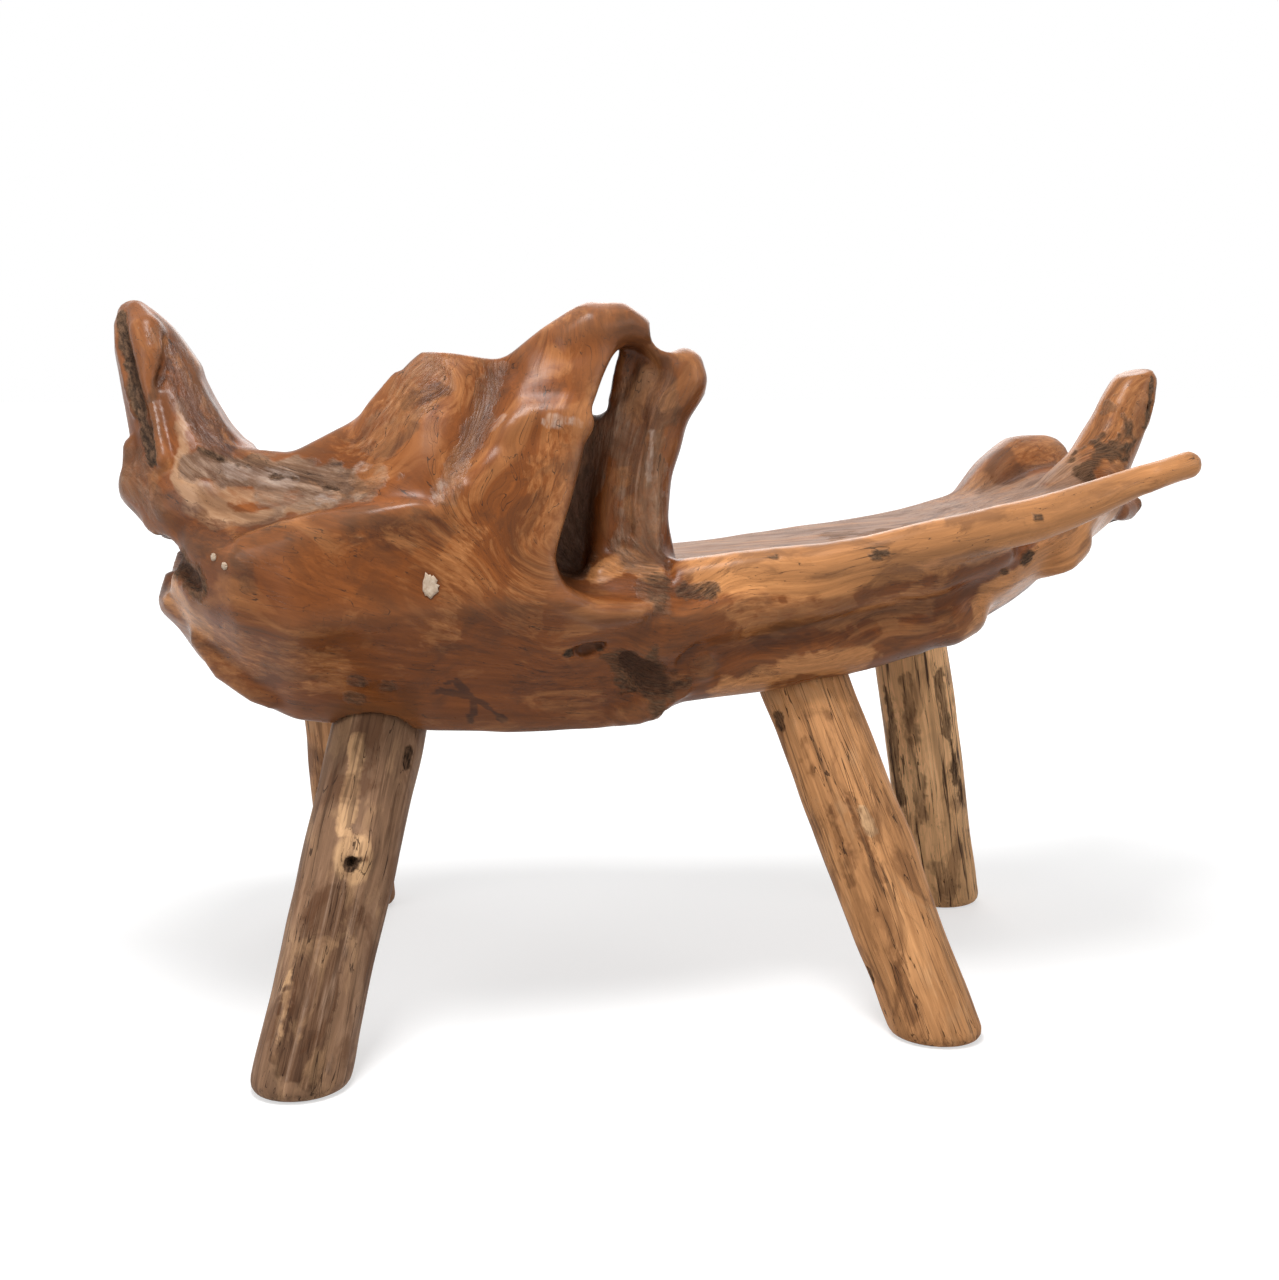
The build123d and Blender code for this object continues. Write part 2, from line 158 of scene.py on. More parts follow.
# Where the root's surface differs, by kind: points, brush radius, raggedness and strength
BRUSHWORK = {}
BRUSHWORK["pale"] = [
    ([(20, -136, 440), (132, -140, 450), (212, -140, 466), (288, -136, 480), (352, -130, 494),
      (408, -122, 512), (456, -115, 529), (512, -110, 545)], 36, 6, 1),
    ([(-310, -163, 585), (-245, -172, 618), (-208, -154, 640)], 34, 12, 0.25),
    ([(365, 196, 466), (439, 232, 520), (473, 244, 526)], 60, 10, 0.35),
    ([(470, 90, 500), (524, 103, 613)], 50, 10, 0.4),
    # The belly's tail under the arm rail: partly its paler wood, partly painted light that lifts it
    # out of its shade
    ([(300, -75, 395), (350, -70, 420), (423, -42, 463), (470, 10, 480)], 42, 14, 0.95),
    ([(60, -150, 412), (150, -140, 405), (240, -125, 418)], 26, 24, 0.45),
    ([(43, -136, 329), (110, -147, 347), (173, -132, 355)], 22, 14, 0.7),
    ([(-469, -114, 383), (-406, -185, 378), (-351, -197, 367)], 34, 20, 0.35),
    ([(-220, -224, 506), (-230, -235, 434), (-235, -220, 395)], 16, 20, 0.3),
    ([(-127, -201, 558), (-147, -219, 486), (-166, -225, 413)], 26, 14, 0.3),
    ([(-86, -155, 446), (-61, -139, 458), (-38, -154, 448)], 14, 6, 0.7),
    ([(-498, -85, 440), (-490, -118, 425), (-474, -145, 398)], 24, 8, 0.7),
    ([(-407, 60, 500), (-425, 150, 484)], 44, 14, 0.35),
    ([(13, -150, 357), (13, -161, 356)], 15, 3, 0.3),
]
BRUSHWORK["sapwood"] = [
    ([(-480, -100, 608), (-478, -125, 570), (-474, -137, 544)], 8, 8, 0.8),
    ([(-474, -137, 544), (-461, -150, 521), (-445, -160, 508)], 16, 10, 0.95),
    ([(-450, -143, 530), (-415, -157, 523), (-385, -168, 524)], 13, 9, 0.6),
    ([(-445, -160, 508), (-419, -172, 503), (-391, -178, 510), (-363, -185, 515),
      (-338, -192, 521)], 11, 10, 0.8),
]
BRUSHWORK["weathered"] = [
    ([(-497, -72, 663), (-474, -94, 615), (-446, -118, 577), (-403, -135, 560)], 22, 12, 0.35),
    ([(-461, -134, 552), (-414, -145, 546), (-367, -166, 540), (-320, -186, 534)], 20, 12, 0.9),
    ([(-400, -170, 526), (-330, -192, 524), (-290, -196, 537)], 18, 12, 0.6),
    ([(-39, -115, 611), (-44, -128, 540), (-44, -138, 470)], 32, 14, 0.62),
    ([(-34, -163, 441), (-36, -175, 425), (-34, -180, 413)], 14, 12, 0.5),
    ([(-88, -112, 590), (-104, -112, 534), (-114, -114, 485), (-114, -130, 445)], 26, 14, 0.62),
    ([(190, 84, 462), (280, 56, 466)], 22, 30, 0.4),
    ([(-530, -102, 545), (-512, -125, 520)], 24, 10, 0.5),
    ([(-515, -60, 500), (-520, 30, 490), (-500, 60, 430)], 40, 24, 0.4),
    ([(-182, -149, 648), (-204, -191, 586), (-236, -221, 530)], 14, 8, 0.4),
    ([(-250, -165, 640), (-285, -180, 585)], 30, 14, 0.4),
]
BRUSHWORK["dark"] = [
    ([(-541, -48, 690), (-533, -66, 656), (-523, -86, 616), (-514, -104, 584), (-506, -119, 560)],
      9, 5, 1),
    ([(-510, -110, 465), (-510, -40, 460), (-514, 20, 469), (-520, 84, 462)], 15, 14, 0.6),
    ([(-470, -120, 566), (-440, -132, 558), (-412, -142, 553)], 4, 5, 0.75),
    ([(-440, -140, 549), (-400, -152, 546), (-370, -166, 541)], 3, 4, 0.75),
    ([(-420, -155, 538), (-385, -166, 536)], 3, 4, 0.6),
    ([(-360, -176, 537), (-325, -188, 531)], 3, 4, 0.7),
    ([(-505, -108, 470), (-484, -140, 456), (-463, -164, 444)], 22, 8, 0.7),
    ([(-62, -178, 366), (-38, -158, 345), (-20, -152, 325)], 21, 22, 0.64),
    ([(-120, -199, 377), (-104, -192, 380), (-90, -190, 383)], 5, 3, 1),
    # Painted shade: the inside of the slot behind the post, darkened with the bark colours
    ([(-96, -112, 582), (-108, -112, 534), (-118, -114, 485), (-116, -132, 445)], 18, 12, 0.3),
    ([(-30, -163, 441), (-34, -175, 425), (-34, -180, 413)], 8, 10, 0.55),
    ([(-5, -166, 430), (22, -162, 431)], 8, 10, 0.65),
    ([(462, 60, 527), (480, 68, 552), (500, 72, 560)], 17, 26, 0.7),
    ([(500, 76, 575), (514, 80, 605)], 9, 24, 0.5),
    ([(539, 80, 634), (536, 77, 600), (529, 76, 574)], 3, 2, 1),
    ([(498, 96, 485), (527, 100, 485)], 26, 6, 0.85),
    ([(300, -95, 440), (345, -88, 452)], 12, 10, 0.8),
    ([(178, -162, 462), (190, -162, 464)], 6, 3, 0.8),
    ([(79, -156, 462), (84, -156, 462)], 3, 1, 0.8),
    ([(341, -151, 496), (346, -151, 497)], 4, 2, 0.8),
    ([(-319, -191, 354), (-316, -191, 352)], 9, 5, 0.55),
    ([(-291, -190, 349), (-288, -190, 347)], 7, 4, 0.5),
    ([(-323, -181, 334), (-318, -181, 333)], 10, 5, 0.55),
]
BRUSHWORK["stain"] = [
    ([(-273, -192, 320), (-240, -190, 343), (-203, -182, 332), (-179, -169, 309)], 4, 3, 1),
    ([(-226, -195, 353), (-208, -183, 332), (-212, -169, 308)], 4, 3, 1),
    ([(-250, -196, 338), (-232, -194, 352)], 3, 2, 1),
    ([(-494, -139, 512), (-460, -164, 488), (-402, -196, 482), (-338, -205, 492),
      (-274, -226, 494)], 22, 10, 0.6),
    ([(-503, -47, 692), (-494, -68, 668), (-494, -84, 645), (-504, -92, 628), (-508, -97, 612)], 7,
      4, 0.95),
    ([(-485, -57, 665), (-472, -89, 626), (-458, -105, 598), (-442, -115, 578)], 24, 12, 0.72),
    ([(-264, -172, 613), (-236, -172, 620)], 8, 8, 0.85),
    ([(-281, -188, 570), (-260, -187, 591)], 9, 8, 0.85),
    ([(404, 194, 532), (410, 173, 510)], 24, 8, 0.55),
    ([(13, -150, 357), (13, -156, 356)], 19, 4, 0.4),
    ([(-430, -214, 480), (-415, -215, 455)], 16, 10, 0.7),
    ([(-256, -227, 507), (-238, -226, 497)], 18, 12, 0.6),
    ([(-123, -156, 677), (-95, -155, 696), (-66, -151, 688), (-41, -133, 668)], 24, 12, 0.4),
    ([(-110, -185, 560), (-105, -195, 500), (-125, -205, 440)], 16, 12, 0.35),
    ([(-51, -186, 387), (8, -170, 380), (78, -160, 395), (160, -146, 405)], 20, 10, 0.3),
    ([(71, -145, 379), (151, -138, 377), (213, -129, 379), (256, -120, 393)], 12, 12, 0.5),
    ([(-60, -125, 665), (-33, -104, 630), (-30, -100, 600)], 30, 12, 0.5),
    ([(-150, -175, 350), (-80, -165, 330)], 30, 20, 0.4),
]
# Painted highlights: pale strokes where the lamps' gloss shows on ridges, edges, the weathered
# trough and the horn's bulb
BRUSHWORK["rubbed"] = [
    ([(-315, -158, 574), (-297, -151, 604), (-276, -146, 632)], 5, 2, 0.9),
    ([(-240, -223, 529), (-228, -210, 559)], 7, 5, 0.7),
    ([(-200, -195, 581), (-180, -185, 599)], 6, 4, 0.6),
    ([(-135, -192, 594), (-110, -190, 594)], 7, 5, 0.7),
    ([(-434, -134, 547), (-405, -150, 543), (-376, -165, 538)], 10, 9, 0.75),
    ([(-345, -188, 524), (-332, -190, 522)], 8, 6, 0.7),
    ([(-312, -185, 551), (-303, -183, 547)], 9, 7, 0.6),
    ([(-33, -124, 580), (-37, -130, 535)], 4, 3, 0.6),
    ([(-57, -122, 505), (-60, -124, 485)], 6, 5, 0.5),
    ([(-524, -66, 682), (-520, -76, 664)], 6, 2, 0.5),
]
BRUSHWORK["dusty"] = [
    ([(40, 60, 440), (150, 70, 452), (260, 60, 466), (340, 60, 484)], 150, 16, 1),
    ([(-300, 60, 430), (-150, 90, 425), (0, 90, 435)], 140, 20, 0.7),
]

# The same for each leg, with the kind first
LEG_MARKS = {
    "rear_left": [
        ("pale", [(-319, -173, 294), (-326, -200, 252), (-330, -222, 219)], 10, 6, 0.8),
        ("pale", [(-380, -280, 100), (-385, -315, 51)], 8, 6, 0.6),
        ("pale", [(-323, -230, 200), (-324, -240, 186)], 18, 3, 0.75),
        ("stain", [(-308, -240, 196), (-310, -246, 184), (-318, -250, 177)], 5, 2, 0.9),
        ("dark", [(-323, -236, 194), (-325, -239, 190)], 8, 3, 1),
        ("dark", [(-270, -167, 281), (-272, -172, 270)], 6, 4, 0.9),
        ("weathered", [(-340, -250, 160), (-361, -301, 82), (-369, -328, 37)], 26, 16, 0.9),
    ],
    "rear_right": [
        ("dark", [(97, -102, 294), (98, -104, 286)], 8, 5, 0.7),
        ("pale", [(170, -174, 213), (176, -182, 195)], 7, 4, 0.9),
        ("stain", [(110, -140, 262), (132, -172, 205), (150, -195, 150)], 14, 12, 0.42),
        ("stain", [(157, -168, 223), (181, -201, 151)], 6, 8, 0.5),
        ("stain", [(191, -229, 74), (198, -244, 33)], 12, 12, 0.42),
        ("dark", [(172, -200, 58), (174, -202, 52)], 6, 5, 0.7),
    ],
    "front_left": [
        ("stain", [(-350, 130, 320), (-352, 150, 280)], 12, 8, 0.5),
    ],
    "front_right": [
        ("dark", [(268, 168, 271), (281, 180, 210), (295, 196, 135)], 8, 9, 0.6),
        ("dark", [(286, 146, 286), (300, 164, 201), (321, 178, 115)], 9, 10, 0.45),
        ("dark", [(327, 149, 297), (346, 166, 212), (367, 187, 135)], 7, 9, 0.62),
        ("dark", [(343, 188, 52), (357, 193, 26)], 12, 10, 0.4),
    ],
}

# Knots that stand out of the legs, and holes and dents in them
LEG_KNOTS = {"rear_left": [([(-322, -222, 198), (-324, -229, 193)], (16, 13), 12)]}
LEG_HOLES = {
    "rear_left": [([(-326, -246, 190), (-322, -232, 194)], (6, 3), 3)],
    "rear_right": [([(92, -104, 294), (98, -108, 284)], (4, 4), 4)],
}

# Each leg's middle colour, its grey weathering and its dark streaks
LEG_TONES = {
    "rear_left": ((0.25, 0.138, 0.078), 0.6, 0.5),
    "rear_right": ((0.5, 0.235, 0.094), 0.25, 0.55),
    "front_left": ((0.42, 0.2, 0.09), 0.3, 0.5),
    # front_right: partly the pale tone of its wood, partly painted light that offsets the shade the
    # root casts on it
    "front_right": ((0.85, 0.48, 0.23), 0.1, 0.95),
}
KINDS = ("pale", "sapwood", "weathered", "dark", "stain", "dusty", "rubbed")

# Where a brush starts and stops fading, from its edge, as shares of its radius
FADE = (-0.3, 0.1)

# Most that rounding may take off a corner of the root, in millimetres
CORNER_LOSS = 2.6

# Heights in millimetres: a leg's ends, and where its relief sets in
LEG_FOOT, LEG_HEAD = 40, 300
RELIEF_START, RELIEF_FULL = 4, 30

# How far apart the legs lie in the log, in millimetres
LEG_SPACING = 700

# Cells changed round a rope of wood, and the size of the noise's lattice
MARGIN_CELLS = 4
LATTICE = 32

# Dark, middle and light shades of the wood's different places
DUSTY = ((0.2, 0.105, 0.06), (0.29, 0.16, 0.1), (0.38, 0.23, 0.15))
SAPWOOD = ((0.27, 0.13, 0.06), (0.37, 0.2, 0.105), (0.47, 0.28, 0.165))
WORN = ((0.06, 0.028, 0.015), (0.17, 0.088, 0.048), (0.34, 0.22, 0.15))
RED_STAIN = ((0.045, 0.014, 0.005), (0.095, 0.03, 0.01), (0.15, 0.052, 0.018))
PIN_WOOD = ((0.26, 0.15, 0.07), (0.52, 0.36, 0.2), (0.66, 0.5, 0.32))

# Single colours
# Pale colour of the painted highlights
PAINTED_HIGHLIGHT = (0.52, 0.4, 0.33)
BLOTCH = (0.09, 0.032, 0.012)
STREAK = (0.06, 0.03, 0.016)
BARK = ((0.026, 0.014, 0.008), (0.19, 0.105, 0.06))
CRACK = (0.03, 0.014, 0.008)
# Lighter colour of worn convex edges, and the painted shade laid in crevices and hollows
WORN_EDGE, CREVICE_SHADE = (0.5, 0.29, 0.16), (0.05, 0.022, 0.012)
FILLER_PITS = (0.4, 0.28, 0.19)
FLOOR_GREY = (0.52, 0.52, 0.52)

# Fillers: spokes, rings and how many rings stay round, then in metres where the search for the
# back starts, the middle's rise, the rim's sink and the thickness
SPOKES, RINGS, ROUND_RINGS = 28, 5, 2
SEARCH_START, RISE, SINK, THICKNESS = 0.08, 0.0012, 0.0004, 0.003

# Lamps: place, aim, size and share of the main lamp's power
LAMPS = {
    "Overhead lamp": ((-0.35, -0.75, 2.2), (-0.05, -0.05, 0.4), 0.6, 1.0),
    "Left lamp": ((-2.0, -1.6, 1.2), (0, 0, 0.35), 1.4, 0.5),
    "Right lamp": ((2.2, -1.4, 1.4), (0, 0, 0.35), 1.4, 0.35),
    "Back lamp": ((0.4, 2.2, 1.8), (0, 0, 0.4), 1.6, 0.5),
}
FLOOR_SIZE = 40
WORLD_LIGHT = 0.38

# The photo's camera, in metres, degrees and millimetres
CAMERA_PLACE = (-0.24746, -2.04855, 0.668)
CAMERA_TURN, CAMERA_DROP = -6, 8.53
CAMERA_LENS, CAMERA_SENSOR = 56.25, 36


def smooth_min(first, second, blend):
    """The lesser of two distances, rounded where they are alike."""
    near = np.maximum(blend - np.abs(first - second), 0.0) / blend
    return np.minimum(first, second) - near * near * blend / 4


def rope(at, points, radii):
    """Distance from a tapering rope through some points."""
    points = np.array(points, float)
    gap = None
    for start, end, near, far in zip(points, points[1:], radii, radii[1:]):
        run = end - start
        away = [place - corner for place, corner in zip(at, start)]
        share = np.clip(sum(a * r for a, r in zip(away, run)) / (run @ run), 0.0, 1.0)
        reach = np.sqrt(sum((a - share * r) ** 2 for a, r in zip(away, run)))
        one = reach - (near + share * (far - near))
        gap = one if gap is None else np.minimum(gap, one)
    return gap


def between(grid, cell, part):
    """Values of a grid between its points."""
    shape = np.array(grid.shape)[:, None]
    total = 0.0
    for corner in np.ndindex(2, 2, 2):
        share = np.prod(np.where(corner, part, 1 - part), axis=1)
        total = total + share * grid[tuple((cell + corner).T % shape)]
    return total


def cloud(at, size, seed):
    """Soft random values from -1 to 1 over some points, with lumps of about the given size."""
    lattice = np.random.default_rng(seed).uniform(-1, 1, (LATTICE,) * 3)
    place = at / size
    cell = np.floor(place).astype(int)
    part = place - cell
    return between(lattice, cell, part * part * (3 - 2 * part))


def step_up(value, low, high):
    """Rises smoothly from 0 to 1 as the value goes from low to high."""
    share = np.clip((value - low) / (high - low), 0.0, 1.0)
    return share * share * (3 - 2 * share)


class Block:
    """Wood held as a grid of distances from its surface, in millimetres and negative inside."""

    def __init__(self, node, step, band=10):
        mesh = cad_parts[node].data
        mesh.calc_loop_triangles()
        flat = np.empty(len(mesh.vertices) * 3, np.float32)
        mesh.vertices.foreach_get("co", flat)
        corners = np.empty(len(mesh.loop_triangles) * 3, np.int32)
        mesh.loop_triangles.foreach_get("vertices", corners)
        points = flat.reshape(-1, 3) * MM
        self.step = step
        self.transform = openvdb.createLinearTransform(voxelSize=step)
        grid = openvdb.FloatGrid.createLevelSetFromPolygons(
            points, triangles=corners.reshape(-1, 3), transform=self.transform, halfWidth=band)
        first = np.floor(points.min(0) / step).astype(int) - band
        last = np.ceil(points.max(0) / step).astype(int) + band
        self.first = first
        self.field = np.empty(tuple(last - first + 1), np.float32)
        grid.copyToArray(self.field, ijk=tuple(int(n) for n in first))

    def window(self, points, reach):
        """The part of the grid around some points, and where its cells are."""
        points = np.array(points, float)
        low = np.floor((points.min(0) - reach) / self.step).astype(int) - self.first
        high = np.ceil((points.max(0) + reach) / self.step).astype(int) - self.first + 1
        low = np.clip(low, 0, self.field.shape)
        high = np.clip(high, 0, self.field.shape)
        part = tuple(slice(a, b) for a, b in zip(low, high))
        lines = [self.step * (np.arange(a, b) + f) for a, b, f in zip(low, high, self.first)]
        return part, np.meshgrid(*lines, indexing="ij", sparse=True)

    def add(self, points, radii, blend):
        """Adds a rope of wood."""
        part, at = self.window(points, max(radii) + blend + MARGIN_CELLS * self.step)
        self.field[part] = smooth_min(self.field[part], rope(at, points, radii), blend)

    def cut(self, points, radii, blend):
        """Cuts a rope of wood out."""
        part, at = self.window(points, max(radii) + blend + MARGIN_CELLS * self.step)
        self.field[part] = -smooth_min(-self.field[part], rope(at, points, radii), blend)

    def saw(self, point, outward, reach):
        """Saws the wood off flat at a point."""
        part, at = self.window([point], reach)
        outward = np.array(outward) / np.linalg.norm(outward)
        above = sum((a - p) * o for a, p, o in zip(at, point, outward))
        away = np.sqrt(sum((a - p) ** 2 for a, p in zip(at, point)))
        cut = np.where(away < reach, above, -reach)
        self.field[part] = np.maximum(self.field[part], cut)

    def softened(self, cells):
        """The grid with its corners rounded over some cells each way."""
        soft = self.field
        for _ in range(2):
            for axis in range(3):
                padded = np.concatenate([np.take(soft, [0] * (cells + 1), axis), soft,
                                         np.take(soft, [-1] * cells, axis)], axis)
                total = np.cumsum(padded, axis, dtype=np.float64)
                upper = np.take(total, range(2 * cells + 1, total.shape[axis]), axis)
                lower = np.take(total, range(total.shape[axis] - 2 * cells - 1), axis)
                soft = ((upper - lower) / (2 * cells + 1)).astype(np.float32)
        return soft

    def value(self, grid, at):
        """The values of a grid at some points."""
        place = at / self.step - self.first
        cell = np.clip(np.floor(place).astype(int), 0, np.array(grid.shape) - 2)
        return between(grid, cell, place - cell)

    def skin(self):
        """The surface's points and its four-sided faces."""
        grid = openvdb.FloatGrid(self.step * 3)
        grid.copyFromArray(self.field, ijk=tuple(int(n) for n in self.first))
        grid.transform = self.transform
        points, faces = grid.convertToQuads()
        return np.array(points, float), np.array(faces)


def normals_of(points, faces):
    """Normals at the points of a mesh of four-sided faces."""
    crossed = np.cross(points[faces[:, 2]] - points[faces[:, 0]],
                       points[faces[:, 3]] - points[faces[:, 1]])
    total = np.zeros_like(points)
    for corner in range(4):
        np.add.at(total, faces[:, corner], crossed)
    return total / np.maximum(np.linalg.norm(total, axis=1, keepdims=True), 1e-9)


def grain_map(strands):
    """A function that unbends the root: it takes points to their places in a straight log."""
    anchors, places = [], []
    for points, width, start in strands:
        points = np.array(points, float)
        runs = np.gradient(points, axis=0)
        steps = np.linalg.norm(np.diff(points, axis=0), axis=1)
        along = np.concatenate([[0.0], np.cumsum(steps)])
        for point, run, distance in zip(points, runs, along):
            run = run / np.linalg.norm(run)
            level = (0, 0, 1) if abs(run[1]) > 0.8 else (0, 1, 0)
            across = np.cross(run, level)
            across /= np.linalg.norm(across)
            deep = np.cross(run, across)
            for a, d in ((0, 0), (width, 0), (-width, 0), (0, width), (0, -width)):
                anchors.append(point + across * a + deep * d)
                places.append((start[0] + distance, start[1] + a, start[2] + d))
    anchors, places = np.array(anchors), np.array(places)
    count = len(anchors)
    pull = np.zeros((count + 4, count + 4))
    pull[:count, :count] = np.linalg.norm(anchors[:, None] - anchors[None], axis=2)
    pull[:count, :count] += np.eye(count) * 4
    pull[:count, count:] = np.column_stack([np.ones(count), anchors])
    pull[count:, :count] = pull[:count, count:].T
    weights = np.linalg.solve(pull, np.vstack([places, np.zeros((4, 3))]))

    def unbend(at):
        out = []
        for part in np.array_split(at, max(1, len(at) // 20000)):
            reach = np.linalg.norm(part[:, None] - anchors[None], axis=2)
            out.append(reach @ weights[:count] + weights[count] + part @ weights[count + 1:])
        return np.concatenate(out)

    return unbend


def paint_over(points, marks, rag):
    """How strongly each kind of mark covers some points."""
    paint = {kind: np.zeros(len(points)) for kind in KINDS}
    for kind, line, radius, ragged, strength in marks:
        gap = rope(points.T, line, [radius] * len(line)) + rag * ragged
        stroke = strength * (1 - step_up(gap, FADE[0] * radius, FADE[1] * radius))
        paint[kind] = np.maximum(paint[kind], stroke)
    return paint


def drawn(grain, times):
    """Places in the log, drawn together along it so that marks there grow long."""
    return grain / np.array((times, 1, 1))


def add_object(name, data):
    """A new object in the scene."""
    made = bpy.data.objects.new(name, data)
    bpy.context.scene.collection.objects.link(made)
    return made


def build_object(name, points, faces, material, attributes):
    """A smooth mesh object from points in millimetres, riding on the bench."""
    mesh = bpy.data.meshes.new(name)
    mesh.from_pydata((points / MM).tolist(), [], faces.tolist())
    mesh.validate()
    for key, values in attributes.items():
        kind = "FLOAT_VECTOR" if values.ndim == 2 else "FLOAT"
        layer = mesh.attributes.new(key, kind, "POINT")
        layer.data.foreach_set("vector" if values.ndim == 2 else "value",
                               values.astype(np.float32).ravel())
    mesh.polygons.foreach_set("use_smooth", [True] * len(mesh.polygons))
    piece = add_object(name, mesh)
    mesh.materials.append(material)
    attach(piece, "root")
    return piece


# Materials

def new_material(name):
    """A material, its node tree and its shader."""
    material = bpy.data.materials.new(name)
    material.use_nodes = True
    tree = material.node_tree
    return material, tree, tree.nodes["Principled BSDF"]


def fill(tree, node, values):
    """Sets or links a node's inputs."""
    for key, value in values.items():
        if isinstance(value, bpy.types.NodeSocket):
            tree.links.new(value, node.inputs[key])
        else:
            node.inputs[key].default_value = value


def put(tree, kind, values=None, **settings):
    """Adds a node, with its settings, and sets or links its inputs."""
    node = tree.nodes.new(kind)
    for key, value in settings.items():
        setattr(node, key, value)
    fill(tree, node, values or {})
    return node


def maths(tree, operation, *values, clamp=False):
    """A sum of numbers or sockets."""
    node = put(tree, "ShaderNodeMath", dict(enumerate(values)), operation=operation,
               use_clamp=clamp)
    return node.outputs[0]


def plus(tree, base, value, weight, clamp=False):
    """A number with a weighted one added."""
    return maths(tree, "ADD", base, maths(tree, "MULTIPLY", value, weight), clamp=clamp)


def mixed(tree, share, first, second):
    """One colour laid over another."""
    first, second = [(*colour, 1) if isinstance(colour, tuple) else colour
                     for colour in (first, second)]
    node = put(tree, "ShaderNodeMix", {0: share, 6: first, 7: second}, data_type="RGBA")
    return node.outputs[2]


def ranged(tree, value, low, high, to_low=0.0, to_high=1.0):
    """A number moved from one range to another."""
    node = put(tree, "ShaderNodeMapRange", {0: value, 1: low, 2: high, 3: to_low, 4: to_high})
    return node.outputs[0]


def grained(tree, vector, along, across, detail=3.0, rough=0.55, bend=0.0):
    """Noise of given sizes along and across the grain."""
    stretch = (1 / along, 1 / across, 1 / across)
    scaled = put(tree, "ShaderNodeVectorMath", {0: vector, 1: stretch}, operation="MULTIPLY")
    noise = put(tree, "ShaderNodeTexNoise", {"Vector": scaled.outputs[0], "Scale": 1.0,
                                             "Detail": detail, "Roughness": rough,
                                             "Distortion": bend})
    return noise.outputs["Fac"]


def new_group(name, inputs, outputs):
    """A node group with the given kinds of inputs and outputs."""
    group = bpy.data.node_groups.new(name, "ShaderNodeTree")
    for side, sockets in (("INPUT", inputs), ("OUTPUT", outputs)):
        for key, kind in sockets.items():
            group.interface.new_socket(key, in_out=side, socket_type=f"NodeSocket{kind}")
    return group


def wood_figure():
    """Node group: teak's streaked colour and the relief of its grain, from a place in the log."""
    made = bpy.data.node_groups.get("Wood figure")
    if made:
        return made
    group = new_group(
        "Wood figure",
        {"Grain": "Vector", "Dark": "Color", "Middle": "Color", "Light": "Color",
         "Streaks": "Float"},
        {"Colour": "Color", "Relief": "Float"})
    inputs = put(group, "NodeGroupInput").outputs
    grain = inputs["Grain"]
    broad = grained(group, grain, 210, 34, 4.0, 0.6, 0.6)
    rings = grained(group, grain, 160, 9, 3.0, 0.6, 0.9)
    fine = grained(group, grain, 45, 1.7, 2.0, 0.6)
    weighted = plus(group, maths(group, "MULTIPLY", broad, 0.5), rings, inputs["Streaks"])
    total = plus(group, weighted, fine, 0.14)
    whole = maths(group, "ADD", inputs["Streaks"], 0.64)
    place = put(group, "ShaderNodeSeparateXYZ", {0: grain}).outputs
    squared = [maths(group, "MULTIPLY", place[axis], place[axis]) for axis in (1, 2)]
    radius = maths(group, "SQRT", maths(group, "ADD", *squared))
    wander = grained(group, grain, 170, 45, 2.0, 0.5, 0.5)
    turns = plus(group, maths(group, "DIVIDE", radius, 9.0), wander, 9.0)
    ring = maths(group, "FRACT", turns)
    late = ranged(group, ring, 0.0, 0.4, 0.4, 0.0)
    value = maths(group, "DIVIDE", total, whole)
    low = mixed(group, ranged(group, value, 0.38, 0.5), inputs["Dark"], inputs["Middle"])
    colour = mixed(group, ranged(group, value, 0.5, 0.64), low, inputs["Light"])
    pores = grained(group, grain, 16, 0.9, 1.0)
    dotted = ranged(group, pores, 0.36, 0.3, 0.0, 0.45)
    ringed = mixed(group, maths(group, "MULTIPLY", late, ranged(group, fine, 0.3, 0.6)), colour,
                   inputs["Dark"])
    pored = mixed(group, dotted, ringed, inputs["Dark"])
    relief = plus(group, maths(group, "MULTIPLY", fine, 0.6), rings, 0.7)
    put(group, "NodeGroupOutput", {"Colour": pored, "Relief": relief})
    return group


def crazing():
    """Node group: thin drying cracks along the grain."""
    made = bpy.data.node_groups.get("Drying cracks")
    if made:
        return made
    group = new_group("Drying cracks", {"Grain": "Vector", "Amount": "Float"},
                      {"Cracks": "Float"})
    inputs = put(group, "NodeGroupInput").outputs
    lines = grained(group, inputs["Grain"], 160, 8, 2.0, 0.5, 0.8)
    thin = maths(group, "ABSOLUTE", maths(group, "SUBTRACT", lines, 0.5))
    where = grained(group, inputs["Grain"], 90, 40, 1.0)
    place = ranged(group, where, 0.62, 0.5)
    width = maths(group, "MULTIPLY", inputs["Amount"], 0.012)
    crack = maths(group, "LESS_THAN", thin, maths(group, "MULTIPLY", width, place))
    put(group, "NodeGroupOutput", {"Cracks": crack})
    return group


def figured(tree, grain, colours, streaks):
    """The wood figure in dark, middle and light shades of a colour."""
    dark, middle, light = [(*colour, 1) for colour in colours]
    return put(tree, "ShaderNodeGroup", {"Grain": grain, "Dark": dark, "Middle": middle,
                                         "Light": light, "Streaks": streaks},
               node_tree=wood_figure()).outputs


def emboss(tree, shader, height, strength, distance):
    """Gives a shader its relief, as deep as the distance in metres."""
    bump = put(tree, "ShaderNodeBump",
               {"Strength": strength, "Distance": distance, "Height": height})
    fill(tree, shader, {"Normal": bump.outputs[0]})


